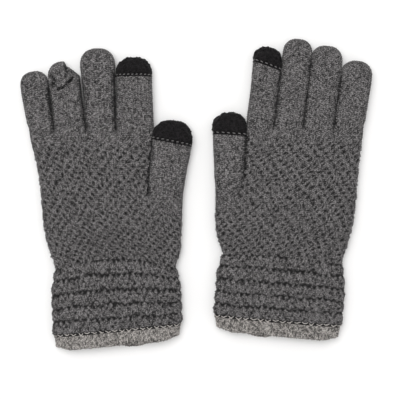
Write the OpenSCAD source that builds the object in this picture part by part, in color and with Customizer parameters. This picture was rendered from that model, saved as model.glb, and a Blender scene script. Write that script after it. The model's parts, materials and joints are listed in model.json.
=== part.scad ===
// Pair of knitted touchscreen gloves, lying side by side with the fingers along +Y.
// Each glove is drawn in its own frame: origin at the middle of the wrist, +X towards the
// thumb, +Y towards the fingertips, resting on z = 0. The right glove is the mirrored hand.

/* [Pair] */
// Distance between the middles of the two wrists
pair_spacing = 132; // [126:1:220]
// How much further towards +Y the right glove lies
right_rise = 7.5; // [-30:0.5:30]

/* [Knit] */
// Thickness of the knitted wall
wall = 2.2; // [1.6:0.1:3]
// Clearance across each fold between two pieces that move
fold_gap = 0.8; // [0.4:0.1:2]
// Clearance between neighbouring stalls
stall_gap = 0.8; // [0.4:0.1:3]

/* [Thickness lying flat] */
// Thickness of the hand
hand_t = 15; // [13:0.5:26]
// Thickness of the finger and thumb stalls
stall_t = 14; // [12:0.5:24]
// Thickness at the gathered wrist
wrist_t = 13; // [12:0.5:24]
// Thickness over the valleys of the cuff
cuff_t = 14; // [12:0.5:26]
// Thickness of the hem band
hem_t = 12; // [11:0.5:24]

/* [Cuff and hem] */
// Length of the gathered cuff
cuff_l = 49; // [30:1:110]
// Number of welts round the cuff
welts = 5; // [3:1:9]
// How far each welt stands out of its valleys
welt_bulge = 2.2; // [0.5:0.1:4]
// Extra width of the cuff over the wrist
cuff_flare = 6; // [0:0.5:20]
// Length of the hem band
hem_l = 11; // [6:0.5:20]

/* [Touch tips] */
// Length of the black tip on the index stall
index_tip_l = 14.5; // [10:0.5:22]
// Length of the black tip on the thumb stall
thumb_tip_l = 16.5; // [10:0.5:24]
// Width of the stitched thread round each tip
thread_w = 1.2; // [0.6:0.1:2]
// How far the thread stands proud of the knit
thread_proud = 0.4; // [0.2:0.1:1]

/* [Left glove] */
// Width at the wrist
left_wrist_w = 94; // [70:1:120]
// Width of the hand just above the thumb root
left_palm_w = 85; // [70:1:120]
// How far the thumb root is tucked inside the index stall's outer side
left_thumb_tuck = 4.5; // [-10:0.5:10]
// Middle of the knuckle line, towards the thumb from the middle of the wrist
left_knuckle_x = -18.8; // [-30:0.1:10]
// Wrist to finger roots
left_hand_l = 105; // [90:1:140]
// Wrist to thumb root
left_thumb_y = 56; // [30:1:75]
// Widths of the little, ring, middle and index stalls at their roots
left_root_w = [20, 25, 23.5, 30]; // [14:0.5:40]
// Widths of the same stalls below their tips
left_top_w = [21, 24.2, 26.8, 28]; // [14:0.5:40]
// Lengths of the same stalls
left_stall_l = [49, 57, 68, 61.5]; // [35:0.5:100]
// Lean of the same stalls away from the thumb, in degrees
left_lean = [9, 6.8, 3, 0.2]; // [-10:0.1:20]
// Thumb stall: root width, width below the tip, length, lean in degrees
left_thumb = [27, 30, 57, -7]; // [-20:0.1:100]
// Rise of the wrist line and of the hem line towards the thumb, per unit of width
left_slope = [0.017, 0.096]; // [-0.2:0.001:0.2]
// Sideways drift of the cuff towards the thumb, from wrist to hem
left_cuff_drift = 1.5; // [-10:0.5:10]

/* [Right glove] */
// Width at the wrist
right_wrist_w = 93; // [70:1:120]
// Width of the hand just above the thumb root
right_palm_w = 91.5; // [70:1:120]
// How far the thumb root is tucked inside the index stall's outer side
right_thumb_tuck = -3.5; // [-10:0.5:10]
// Middle of the knuckle line, towards the thumb from the middle of the wrist
right_knuckle_x = -17.8; // [-30:0.1:10]
// Wrist to finger roots
right_hand_l = 100; // [90:1:140]
// Wrist to thumb root
right_thumb_y = 55; // [30:1:75]
// Widths of the little, ring, middle and index stalls at their roots
right_root_w = [24.5, 24, 23.5, 21.5]; // [14:0.5:40]
// Widths of the same stalls below their tips
right_top_w = [24.6, 24.6, 23.2, 22.4]; // [14:0.5:40]
// Lengths of the same stalls
right_stall_l = [55, 67.5, 73, 66.5]; // [35:0.5:100]
// Lean of the same stalls away from the thumb, in degrees
right_lean = [8.6, 6.9, 7.2, 6.2]; // [-10:0.1:20]
// Thumb stall: root width, width below the tip, length, lean in degrees
right_thumb = [21.5, 24.5, 58, 0.2]; // [-20:0.1:100]
// Rise of the wrist line and of the hem line towards the thumb, per unit of width
right_slope = [0.088, 0.083]; // [-0.2:0.001:0.2]
// Sideways drift of the cuff towards the thumb, from wrist to hem
right_cuff_drift = 4; // [-10:0.5:10]

/* [Hidden] */
DIGITS = ["little", "ring", "middle", "index", "thumb"];
SIDES = ["left", "right"];
PARTS = ["hand", "cuff", "hem",
    "little_base", "little_end", "ring_base", "ring_end", "middle_base", "middle_end",
    "index_base", "index_end", "index_thread", "index_tip",
    "thumb_base", "thumb_end", "thumb_thread", "thumb_tip"];

THUMB = 4;
INDEX = 3;
knit_grey = [0.27, 0.27, 0.28];
tip_black = [0.05, 0.05, 0.055];
hem_grey = [0.52, 0.51, 0.49];
thread_grey = [0.66, 0.66, 0.65];

// Shape of a cross-section: points round it, squareness and the share cut flat underneath
wide_n = 24;
stall_n = 16;
roundness = 0.7;
flat_cut = 0.92;

// Where a stall folds, how long its rounded end is, and how thin it is at the very tip
fold_share = 0.46;
dome_share = 0.55;
dome_steps = 4;
dome_end = 0.97;
tip_t_share = 0.55;
dome_power = 2.3;

// Hand outline: where the heel of the hand swells out over the wrist and by how much, how far
// the palm is drawn in half-way up, the shoulder's length beside the thumb root, and how much of
// its drift towards the little finger the outer edge has made half-way to the knuckles
heel_share = 0.2;
heel_out = 4.5;
palm_in = 3;
shoulder_l = 2;
edge_drift = 0.35;

// Stations along each welt, and how far the hem's mouth is drawn in on each side
welt_steps = 4;
hem_in = 1;

// --- one glove's sizes, picked by side (0 left, 1 right) ---
function wrist_w(g) = [left_wrist_w, right_wrist_w][g];
function palm_w(g) = [left_palm_w, right_palm_w][g];
function thumb_tuck(g) = [left_thumb_tuck, right_thumb_tuck][g];
function knuckle_x(g) = [left_knuckle_x, right_knuckle_x][g];
function hand_l(g) = [left_hand_l, right_hand_l][g];
function thumb_y(g) = [left_thumb_y, right_thumb_y][g];
function root_widths(g) = [left_root_w, right_root_w][g];
function wrist_slope(g) = [left_slope, right_slope][g][0];
function hem_slope(g) = [left_slope, right_slope][g][1];
function cuff_drift(g) = [left_cuff_drift, right_cuff_drift][g];
function thumb_spec(g) = [left_thumb, right_thumb][g];
function stall_spec(g, d) = d == THUMB ? thumb_spec(g) : g == 0
    ? [left_root_w[d], left_top_w[d], left_stall_l[d], left_lean[d]]
    : [right_root_w[d], right_top_w[d], right_stall_l[d], right_lean[d]];

// --- the finger roots side by side along the knuckle line, and the thumb root beside them ---
function sum_to(v, k) = k <= 0 ? 0 : v[k - 1] + sum_to(v, k - 1);
function knuckle_w(g) = sum_to(root_widths(g), len(root_widths(g)));
function knuckle_x0(g) = knuckle_x(g) - knuckle_w(g) / 2;
function crease_x(g) = knuckle_x0(g) + knuckle_w(g) - thumb_tuck(g);
function thumb_side(g) = crease_x(g) + thumb_spec(g)[0] + stall_gap;
function little_side(g) = crease_x(g) - palm_w(g);
function lean_of(g, d) = stall_spec(g, d)[3];
function root_w(g, d) = stall_spec(g, d)[0] - stall_gap;
function root_x(g, d) = d == THUMB
    ? crease_x(g) + thumb_spec(g)[0] / 2
    : knuckle_x0(g) + sum_to(root_widths(g), d) + root_widths(g)[d] / 2;
function root_line(g, d) = d == THUMB ? thumb_y(g) + shoulder_l : hand_l(g);
function root_y(g, d) = root_line(g, d) + fold_gap + abs(sin(lean_of(g, d))) * root_w(g, d) / 2;

// --- lofted knit shells ---
// A station is [x middle, y, slope across, half width, thickness]
function soft_pow(v) = sign(v) * pow(abs(v), roundness);
function height_share(a) = max(0, (soft_pow(sin(a)) + flat_cut) / (1 + flat_cut));
function ring(st, t, n) = [for (i = [0:n - 1])
    let (a = (i + 0.5) * 360 / n, x = (st[3] - t) * soft_pow(cos(a)))
    [st[0] + x, st[1] + st[2] * x, t + (st[4] - 2 * t) * height_share(a)]];
function flat_list(v) = [for (r = v) each r];
function skirt(k0, rings, n, out) = [for (k = [0:rings - 2]) for (i = [0:n - 1])
    let (a = (k0 + k) * n + i, b = (k0 + k) * n + (i + 1) % n)
    each out ? [[a, b, b + n], [a, b + n, a + n]] : [[a, b + n, b], [a, a + n, b + n]]];
function rim(ka, kb, n) = [for (i = [0:n - 1])
    let (j = (i + 1) % n, a = ka * n, b = kb * n)
    each [[a + i, b + i, b + j], [a + i, b + j, a + j]]];

// A knitted tube: outer stations, inner stations, open at the far end or closed there
module knit_tube(outer, inner, n, closed = false) {
    ko = len(outer);
    ki = len(inner);
    points = concat(flat_list([for (s = outer) ring(s, 0, n)]),
        flat_list([for (s = inner) ring(s, wall, n)]));
    far = closed
        ? [[for (i = [0:n - 1]) (ko - 1) * n + i], [for (i = [n - 1:-1:0]) (ko + ki - 1) * n + i]]
        : [for (f = rim(ko - 1, ko + ki - 1, n)) [f[2], f[1], f[0]]];
    polyhedron(points, concat(skirt(0, ko, n, true), skirt(ko, ki, n, false),
        rim(0, ko, n), far), convexity = 6);
}

// --- stalls: stations along one stall, measured from its root ---
function stall_l(g, d) = stall_spec(g, d)[2];
function fold_at(g, d) = stall_l(g, d) * fold_share;
function dome_l(g, d) = stall_spec(g, d)[1] * dome_share;
function dome_start(g, d) = stall_l(g, d) - dome_l(g, d);
function tip_l(d) = d == THUMB ? thumb_tip_l : index_tip_l;
function seam_at(g, d) = stall_l(g, d) - tip_l(d);
function has_tip(d) = d >= INDEX;
function straight_w(g, d, y) = let (s = stall_spec(g, d))
    s[0] + (s[1] - s[0]) * min(1, y / dome_start(g, d)) - stall_gap;
function dome_w(g, d, y, l, start) = let (u = max(0, y - start) / (l - start))
    straight_w(g, d, min(y, start)) * pow(max(0, 1 - pow(u, dome_power)), 1 / dome_power);
function dome_t(y, l, start) = let (u = max(0, y - start) / (l - start))
    stall_t * (1 - (1 - tip_t_share) * pow(u, dome_power));
function stall_station(g, d, y, l) = let (start = dome_start(g, d))
    [0, y, 0, dome_w(g, d, y, l, start) / 2, dome_t(y, l, start)];
function dome_ys(g, d, from, l) = let (start = dome_start(g, d))
    [from, if (start > from + 1) start,
     for (k = [1:dome_steps]) let (y = start + (l - start) * sin(90 * k / dome_steps) * dome_end)
        if (y > from + 1) y];
function skin(g, d, ys, l) = [for (y = ys) stall_station(g, d, y, l)];
// The inner skin follows the outer one a wall further back
function lining(g, d, ys) = [for (y = ys) stall_station(g, d, y, stall_l(g, d))];

module along_stall(g, d) {
    translate([root_x(g, d), root_y(g, d), 0])
        rotate([0, 0, lean_of(g, d)])
            children();
}

module open_length(g, d, y0, y1) {
    ends = skin(g, d, [y0, y1], stall_l(g, d));
    knit_tube(ends, ends, stall_n);
}

module closed_length(g, d, y0) {
    l = stall_l(g, d);
    inner_ys = [y0, for (y = dome_ys(g, d, y0, l)) if (y > y0 + 1 && y < l - 2 * wall) y];
    knit_tube(skin(g, d, dome_ys(g, d, y0, l), l), lining(g, d, inner_ys), stall_n, true);
}

module stall_base(g, d) {
    color(knit_grey)
        along_stall(g, d)
            open_length(g, d, 0, fold_at(g, d) - fold_gap / 2);
}

module stall_end(g, d) {
    y0 = fold_at(g, d) + fold_gap / 2;
    color(knit_grey)
        along_stall(g, d)
            if (has_tip(d)) open_length(g, d, y0, seam_at(g, d) - thread_w);
            else closed_length(g, d, y0);
}

module touch_tip(g, d) {
    color(tip_black)
        along_stall(g, d)
            closed_length(g, d, seam_at(g, d));
}

module tip_thread(g, d) {
    ends = skin(g, d, [seam_at(g, d) - thread_w, seam_at(g, d)], stall_l(g, d));
    proud = [for (s = ends) [s[0], s[1], s[2], s[3] + thread_proud, s[4] + thread_proud]];
    color(thread_grey)
        along_stall(g, d)
            knit_tube(proud, ends, stall_n);
}

// --- hand: stations from the wrist to the finger roots ---
function mid_of(a, b) = (a + b) / 2;
function span(y, slope, lo, hi, t) = [mid_of(lo, hi), y, slope, (hi - lo) / 2, t];
function hand_below(g) = let (w = wrist_w(g) / 2, y = thumb_y(g))
    [span(0, wrist_slope(g), -w, w, wrist_t),
     span(y * heel_share, wrist_slope(g), -w - heel_out, w + heel_out, mid_of(wrist_t, hand_t)),
     span(y * 0.5, 0, little_side(g) + palm_in, thumb_side(g) - palm_in / 2, hand_t),
     span(y, 0, little_side(g), thumb_side(g), hand_t)];
function hand_above(g, y0) = let (k0 = knuckle_x0(g), k1 = k0 + knuckle_w(g) - stall_gap)
    [span(y0, 0, little_side(g), crease_x(g) - stall_gap / 2, hand_t),
     span(mid_of(y0, hand_l(g)), 0, little_side(g) + (k0 - little_side(g)) * edge_drift,
        mid_of(crease_x(g) - stall_gap / 2, k1), hand_t),
     span(hand_l(g), 0, k0, k1, stall_t)];

module hand(g) {
    outer = concat(hand_below(g), hand_above(g, thumb_y(g) + shoulder_l));
    below = hand_below(g);
    top = below[len(below) - 1];
    inner = concat([for (k = [0:len(below) - 2]) below[k]],
        [[top[0], top[1] - wall, top[2], top[3], top[4]]],
        hand_above(g, thumb_y(g) + shoulder_l - wall));
    hole_w = root_w(g, THUMB) - 4 * wall;
    hole_t = hand_t - 3 * wall;
    color(knit_grey)
        difference() {
            knit_tube(outer, inner, wide_n);
            translate([root_x(g, THUMB), thumb_y(g) + shoulder_l + 1, hand_t / 2])
                rotate([90, 0, 0])
                    linear_extrude(shoulder_l + 2 * wall + 2)
                        slot(hole_w, hole_t);
        }
}

// A flat slot with round ends
module slot(w, t) {
    square([w - t, t], center = true);
    for (s = [-1, 1])
        translate([s * (w - t) / 2, 0])
            circle(d = t, $fn = 32);
}

// --- cuff and hem: stations from the wrist down to the mouth ---
function cuff_slope(g, u) = wrist_slope(g) + (hem_slope(g) - wrist_slope(g)) * u;
function cuff_w(g, u) = wrist_w(g) + cuff_flare * min(1, 3 * u);
function cuff_y(u) = -cuff_l * u - fold_gap;
function welt(u) = welt_bulge * abs(sin(180 * welts * u));
function cuff_station(g, u) = let (b = welt(u))
    [cuff_drift(g) * u, cuff_y(u), cuff_slope(g, u), cuff_w(g, u) / 2 + b, cuff_t + b];
function cuff_lining(g, u) =
    [cuff_drift(g) * u, cuff_y(u), cuff_slope(g, u), cuff_w(g, u) / 2, cuff_t];
function flip(v) = [for (k = [len(v) - 1:-1:0]) v[k]];
function cuff_us() = [for (k = [0:welts * welt_steps]) k / (welts * welt_steps)];

module cuff(g) {
    color(knit_grey)
        knit_tube(flip([for (u = cuff_us()) cuff_station(g, u)]),
            flip([for (u = [0, 0.5, 1]) cuff_lining(g, u)]), wide_n);
}

function hem_low(g) = let (top = cuff_lining(g, 1))
    [top[0], top[1] - hem_l, top[2], top[3] - hem_in, hem_t];

module hem(g) {
    top = cuff_lining(g, 1);
    low = hem_low(g);
    high = [top[0], top[1], top[2], top[3], mid_of(hem_t, cuff_t)];
    color(hem_grey)
        knit_tube([low, high], [low, high], wide_n);
}

// --- the pair, centred on the middle of its own footprint ---
function placed(g, p) = g == 0 ? [p[0], p[1]] : [pair_spacing - p[0], p[1] + right_rise];
function turned(p, a) = [p[0] * cos(a) - p[1] * sin(a), p[0] * sin(a) + p[1] * cos(a)];
function stall_edge(g, d) = [for (y = dome_ys(g, d, 0, stall_l(g, d))) for (p = ring(
    stall_station(g, d, y, stall_l(g, d)), 0, stall_n))
    let (q = turned(p, lean_of(g, d))) placed(g, [root_x(g, d) + q[0], root_y(g, d) + q[1]])];
function hem_edge(g) = [for (p = ring(hem_low(g), 0, wide_n)) placed(g, p)];
function footprint() = flat_list([for (g = [0, 1]) concat(hem_edge(g),
    flat_list([for (d = [0:THUMB]) stall_edge(g, d)]))]);
function middle(v) = (min(v) + max(v)) / 2;
FOOT = footprint();
CENTRE = [middle([for (p = FOOT) p[0]]), middle([for (p = FOOT) p[1]])];

module place(g) {
    translate([-CENTRE[0], -CENTRE[1], 0])
        if (g == 0) children();
        else translate([pair_spacing, right_rise, 0]) mirror([1, 0, 0]) children();
}

module piece(g, name) {
    if (name == "hand") hand(g);
    if (name == "cuff") cuff(g);
    if (name == "hem") hem(g);
    for (d = [0:THUMB]) {
        if (name == str(DIGITS[d], "_base")) stall_base(g, d);
        if (name == str(DIGITS[d], "_end")) stall_end(g, d);
        if (name == str(DIGITS[d], "_thread")) tip_thread(g, d);
        if (name == str(DIGITS[d], "_tip")) touch_tip(g, d);
    }
}

for (g = [0, 1]) for (name = PARTS)
    place(g) piece(g, name);
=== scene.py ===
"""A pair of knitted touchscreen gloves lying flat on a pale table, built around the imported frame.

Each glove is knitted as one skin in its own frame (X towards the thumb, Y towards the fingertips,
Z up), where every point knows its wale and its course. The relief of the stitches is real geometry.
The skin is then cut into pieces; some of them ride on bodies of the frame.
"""

import json
import math

import bpy
import numpy as np
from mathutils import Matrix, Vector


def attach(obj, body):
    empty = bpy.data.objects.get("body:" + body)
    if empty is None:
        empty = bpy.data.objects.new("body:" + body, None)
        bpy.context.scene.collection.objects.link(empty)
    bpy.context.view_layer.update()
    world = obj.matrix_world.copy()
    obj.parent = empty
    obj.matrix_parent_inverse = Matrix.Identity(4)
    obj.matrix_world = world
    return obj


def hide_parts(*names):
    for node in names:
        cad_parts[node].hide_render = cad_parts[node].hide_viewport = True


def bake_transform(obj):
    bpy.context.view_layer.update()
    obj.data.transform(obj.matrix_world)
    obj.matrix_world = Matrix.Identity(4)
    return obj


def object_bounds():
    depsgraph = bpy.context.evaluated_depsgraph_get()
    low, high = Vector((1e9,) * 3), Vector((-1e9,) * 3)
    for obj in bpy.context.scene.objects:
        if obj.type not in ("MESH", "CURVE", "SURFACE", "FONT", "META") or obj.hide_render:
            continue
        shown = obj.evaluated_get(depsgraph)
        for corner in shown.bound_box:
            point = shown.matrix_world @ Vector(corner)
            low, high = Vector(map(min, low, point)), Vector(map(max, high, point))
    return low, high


bl_info = {
    "name": "Knitted touchscreen gloves",
    "version": (1, 0, 0),
    "blender": (4, 5, 0),
    "location": "View3D > Sidebar > Gloves",
    "description": "Knits a pair of gloves with welted cuffs and black touch tips",
    "category": "Add Mesh",
}

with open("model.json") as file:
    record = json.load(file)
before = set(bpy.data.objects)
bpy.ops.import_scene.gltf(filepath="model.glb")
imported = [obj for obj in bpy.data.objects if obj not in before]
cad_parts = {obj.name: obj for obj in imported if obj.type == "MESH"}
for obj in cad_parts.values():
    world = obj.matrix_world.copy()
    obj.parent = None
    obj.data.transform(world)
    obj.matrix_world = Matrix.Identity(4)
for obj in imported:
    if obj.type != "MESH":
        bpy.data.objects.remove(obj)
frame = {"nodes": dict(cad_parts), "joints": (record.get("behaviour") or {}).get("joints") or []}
CAD_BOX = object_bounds()
JOINTS = {j["name"]: j for j in frame["joints"]}
MM = 0.001
SIDES = ("left", "right")
FINGERS = ("little", "ring", "middle", "index")
DIGITS = FINGERS + ("thumb",)
TIPPED = ("index", "thumb")


# --- sizes and colours that a user would change ---
class KnitSettings(bpy.types.PropertyGroup):
    """Stitch sizes and relief of the knitted skin."""

    wale: bpy.props.FloatProperty(
        name="Stitch width", description="Width of one column of stitches",
        default=2.65 * MM, min=1.5 * MM, max=5 * MM, unit="LENGTH", precision=5)
    course: bpy.props.FloatProperty(
        name="Stitch height", description="Height of one row of stitches",
        default=1.62 * MM, min=1 * MM, max=4 * MM, unit="LENGTH", precision=5)
    stitch_depth: bpy.props.FloatProperty(
        name="Stitch depth", description="How deep the grooves between plain stitches are",
        default=0.62 * MM, min=0, max=1 * MM, unit="LENGTH", precision=5)
    moss_depth: bpy.props.FloatProperty(
        name="Moss depth", description="How far the raised blocks of the hand stand out",
        default=1.2 * MM, min=0, max=2 * MM, unit="LENGTH", precision=5)
    welt_depth: bpy.props.FloatProperty(
        name="Welt depth", description="How far the cuff's welts stand out of their valleys",
        default=2.0 * MM, min=0, max=4 * MM, unit="LENGTH", precision=5)
    sag: bpy.props.FloatProperty(
        name="Unevenness", description="Soft dents and swells of the cloth",
        default=0.55 * MM, min=0, max=2 * MM, unit="LENGTH", precision=5)


class YarnSettings(bpy.types.PropertyGroup):
    """Colours of the yarns."""

    dark: bpy.props.FloatVectorProperty(
        name="Marl dark", description="Dark fibres of the grey marl yarn",
        default=(0.036, 0.0345, 0.0348), subtype="COLOR", min=0, max=1)
    light: bpy.props.FloatVectorProperty(
        name="Marl light", description="Light fibres of the grey marl yarn",
        default=(0.278, 0.266, 0.267), subtype="COLOR", min=0, max=1)
    black: bpy.props.FloatVectorProperty(
        name="Touch black", description="Conductive yarn of the touch tips",
        default=(0.0025, 0.0022, 0.0024), subtype="COLOR", min=0, max=1)
    pale: bpy.props.FloatVectorProperty(
        name="Hem pale", description="Light strands of the hem band",
        default=(0.56, 0.528, 0.50), subtype="COLOR", min=0, max=1)
    thread: bpy.props.FloatVectorProperty(
        name="Seam thread", description="Thread that joins each touch tip",
        default=(0.19, 0.183, 0.183), subtype="COLOR", min=0, max=1)


class StudioSettings(bpy.types.PropertyGroup):
    """Camera and light."""

    lens: bpy.props.FloatProperty(
        name="Lens", description="Focal length of the camera", default=85, min=35, max=200,
        subtype="DISTANCE_CAMERA")
    view_width: bpy.props.FloatProperty(
        name="View width", description="Width of table that the picture shows",
        default=0.316, min=0.2, max=1, unit="LENGTH")
    softbox: bpy.props.FloatProperty(
        name="Softbox power", description="Power of the large light overhead",
        default=9.0, min=0, max=100, unit="POWER")
    sky: bpy.props.FloatProperty(
        name="Sky strength", description="Strength of the light from all round", default=0.72,
        min=0, max=5)


def knit():
    return bpy.context.scene.glove_knit


def yarn():
    return bpy.context.scene.glove_yarn


def studio():
    return bpy.context.scene.glove_studio


# --- small maths ---
def smooth(t):
    t = np.clip(t, 0, 1)
    return t * t * (3 - 2 * t)


def mix(a, b, t):
    return a + (b - a) * t


def lattice_noise(cells, seed):
    """One fixed random number from -1 to 1 for each whole-number cell."""
    n = cells.astype(np.int64)
    key = n[..., 0] * 73856093 ^ n[..., 1] * 19349663 ^ n[..., 2] * 83492791 ^ (seed * 2654435761)
    key = (key ^ (key >> 13)) * 1274126177 & 0x7FFFFFFF
    key = (key ^ (key >> 15)) * 668265263 & 0x7FFFFFFF
    return (key ^ (key >> 14)) % 65536 / 32767.5 - 1


def soft_noise(points, size, seed):
    """Smooth noise from -1 to 1 through space, with swells about one size across."""
    p = points / size
    base = np.floor(p)
    f = smooth(p - base)
    total = np.zeros(len(p))
    for corner in np.ndindex(2, 2, 2):
        share = np.prod(np.where(corner, f, 1 - f), axis=1)
        total += share * lattice_noise(base + corner, seed)
    return total


def stitch_noise(w, c, seed):
    """One random number from -1 to 1 for each stitch."""
    return lattice_noise(np.stack([np.floor(w), np.floor(c), np.zeros_like(w)], -1), seed)


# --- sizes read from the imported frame, in one glove's own frame ---
class Sizes:
    """Where one glove's pieces are, with X towards the thumb and Y towards the fingertips."""

    def __init__(self, side):
        self.side = side
        self.mirror = 1 if side == "left" else -1
        self.origin = np.array(JOINTS[f"{side}_wrist_fold"]["pos_m"])[:2]
        self.stalls = {d: Stall(self, d) for d in DIGITS}

    def local(self, p):
        q = np.array(p, float)
        q[..., :2] -= self.origin
        q[..., 0] *= self.mirror
        return q

    def world(self, p):
        q = np.array(p, float)
        q[..., 0] *= self.mirror
        q[..., :2] += self.origin
        return q

    def node(self, name):
        """Points of a CAD node, in the glove's frame."""
        data = frame["nodes"][f"{self.side}_{name}"].data
        co = np.zeros(len(data.vertices) * 3)
        data.vertices.foreach_get("co", co)
        return self.local(co.reshape(-1, 3))


SPLIT_SHARE = 0.62          # where a stall's two pieces meet, as a share of the way to its fold
# rise of a touch tip's seam for each unit of width towards the thumb's side
SEAM_SLANTS = {("right", "index"): 0.24, ("left", "thumb"): -0.07, ("right", "thumb"): 0.065}


class Stall:
    """One finger or thumb stall: its root, its direction, and its width and thickness along it."""

    def __init__(self, sizes, digit):
        side = sizes.side
        root = JOINTS[f"{side}_{digit}_root"]
        axis = np.array(root["axis"])
        self.digit, self.side = digit, side
        self.root = sizes.local(np.array(root["pos_m"]))[:2]
        self.dir = np.array([-axis[1] * sizes.mirror, axis[0]])
        self.out = np.array([self.dir[1], -self.dir[0]])
        fold = sizes.local(np.array(JOINTS[f"{side}_{digit}_fold"]["pos_m"]))[:2]
        self.fold = float((fold - self.root) @ self.dir)
        self.split_at = SPLIT_SHARE * self.fold
        last = f"{digit}_tip" if digit in TIPPED else f"{digit}_end"
        p = sizes.node(last)
        along = (p[:, :2] - self.root) @ self.dir
        self.length = along.max()
        self.seam = along.min() if digit in TIPPED else None
        self.seam_slant = SEAM_SLANTS.get((side, digit), 0.0)
        self.stations, self.widths, self.heights = [], [], []
        for name in (f"{digit}_base", f"{digit}_end") + ((last,) if digit in TIPPED else ()):
            q = sizes.node(name)
            s = (q[:, :2] - self.root) @ self.dir
            x = (q[:, :2] - self.root) @ self.out
            for station in np.unique(np.round(s, 5)):
                at = np.abs(s - station) < 2e-5
                if np.ptp(x[at]) > 1e-4:
                    self.stations.append(station)
                    self.widths.append(np.ptp(x[at]))
                    self.heights.append(q[at, 2].max())
        order = np.argsort(self.stations)
        self.stations = np.array(self.stations)[order]
        self.widths = np.array(self.widths)[order]
        self.heights = np.array(self.heights)[order]

    def width(self, s):
        return np.interp(s, self.stations, self.widths)

    def place(self, s, row):
        """Points of a flat row (X, Z) set across the stall at s, slanting as the seam does."""
        along = s + self.seam_slant * self.slant_share(s) * row[:, :1]
        xy = self.root + self.dir * along + self.out * row[:, :1]
        return np.concatenate([xy, row[:, 1:]], 1)

    def slant_share(self, s):
        """How much of the seam's slant the rows at s have: none at the root and at the tip."""
        if self.seam is None:
            return 0.0
        return smooth(s / self.seam) * smooth((self.length - s) / (self.length - self.seam))


# --- cross-sections of the knitted tube ---
SIDE_POWER = 0.72     # squareness of the soft sides
FLAT_SHARE = 0.90     # how far the underside is pressed flat by the table
COLUMNS = 6           # columns of points to one wale
ROWS = 4              # rows of points to one course


def even_half(half_width, rise, count):
    """count + 1 points, evenly spaced, from the left side over a half section to the right side."""
    a = np.linspace(math.pi, 0, 400)
    x = half_width * np.sign(np.cos(a)) * np.abs(np.cos(a)) ** SIDE_POWER
    z = rise * np.sin(a) ** SIDE_POWER
    z[0] = z[-1] = 0
    run = np.concatenate([[0], np.cumsum(np.hypot(np.diff(x), np.diff(z)))])
    at = np.linspace(0, run[-1], count + 1)
    return np.interp(at, run, x), np.interp(at, run, z)


def section(half_width, thickness, count, lift=0.0):
    """Top and bottom rows of one section, as X and Z. Both rows share their two end points."""
    middle = thickness * FLAT_SHARE / (1 + FLAT_SHARE)
    x, z = even_half(half_width, thickness - middle, count)
    xb, zb = even_half(half_width, middle / FLAT_SHARE, count)
    top = np.stack([x, middle + z + lift], -1)
    low = np.stack([xb, np.maximum(middle - zb, 0) + lift], -1)
    return top, low


class Skin:
    """Rows of points that share edges, with their knit coordinates and zones."""

    def __init__(self):
        self.points, self.wale, self.course, self.zone = [], [], [], []
        self.faces, self.corner_w, self.corner_c, self.label = [], [], [], []
        self.count = 0
        self.rings = {}

    def keep_ring(self, name, ring):
        """Remembers a row's point numbers, for the strands that are laid over it."""
        self.rings.setdefault(name, []).append(ring)

    def add_points(self, p, w, c, zone):
        start = self.count
        self.points.append(np.asarray(p, float))
        self.wale.append(np.broadcast_to(w, len(p)).astype(float))
        self.course.append(np.broadcast_to(c, len(p)).astype(float))
        self.zone.append(np.broadcast_to(zone, (len(p), len(ZONES))).astype(float))
        self.count += len(p)
        return np.arange(start, self.count)

    def add_faces(self, quads, w, c, label):
        self.faces.append(quads)
        self.corner_w.append(w)
        self.corner_c.append(c)
        self.label += [label] * len(quads)

    def finish(self):
        self.points = np.concatenate(self.points)
        self.wale = np.concatenate(self.wale)
        self.course = np.concatenate(self.course)
        self.zone = np.concatenate(self.zone)
        self.faces = np.concatenate(self.faces)
        self.corner_w = np.concatenate(self.corner_w)
        self.corner_c = np.concatenate(self.corner_c)
        self.label = np.array(self.label)


# groove lowers the skin and gives it painted shade; crease gives only painted shade, where stalls lie
# against each other
ZONES = ("jersey", "moss", "welt", "hem", "cap", "groove", "crease")


def zone_row(**shares):
    return np.array([shares.get(z, 0.0) for z in ZONES])


def ring_ids(top_ids, low_ids):
    """Point numbers round one closed row: over the top to the right, back underneath."""
    return np.concatenate([top_ids, low_ids[1:-1][::-1]])


def row_ids(ring):
    """Point numbers of the top and bottom rows, left to right, from those round a closed row."""
    n = len(ring) // 2
    return ring[:n + 1], np.concatenate([ring[:1], ring[n + 1:][::-1], ring[n:n + 1]])


def bridge(skin, ring_a, ring_b, w0, course_a, course_b, label, downwards):
    """Quads between two closed rows of the same length."""
    n = len(ring_a)
    i = np.arange(n)
    j = (i + 1) % n
    quads = np.stack([ring_a[i], ring_a[j], ring_b[j], ring_b[i]], -1)
    w = w0 + np.stack([i, i + 1, i + 1, i], -1) / COLUMNS
    c = np.broadcast_to([course_a, course_a, course_b, course_b], (n, 4))
    if downwards:
        quads, w, c = quads[:, ::-1], w[:, ::-1], c[:, ::-1]
    skin.add_faces(quads, w, c, label)


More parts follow.
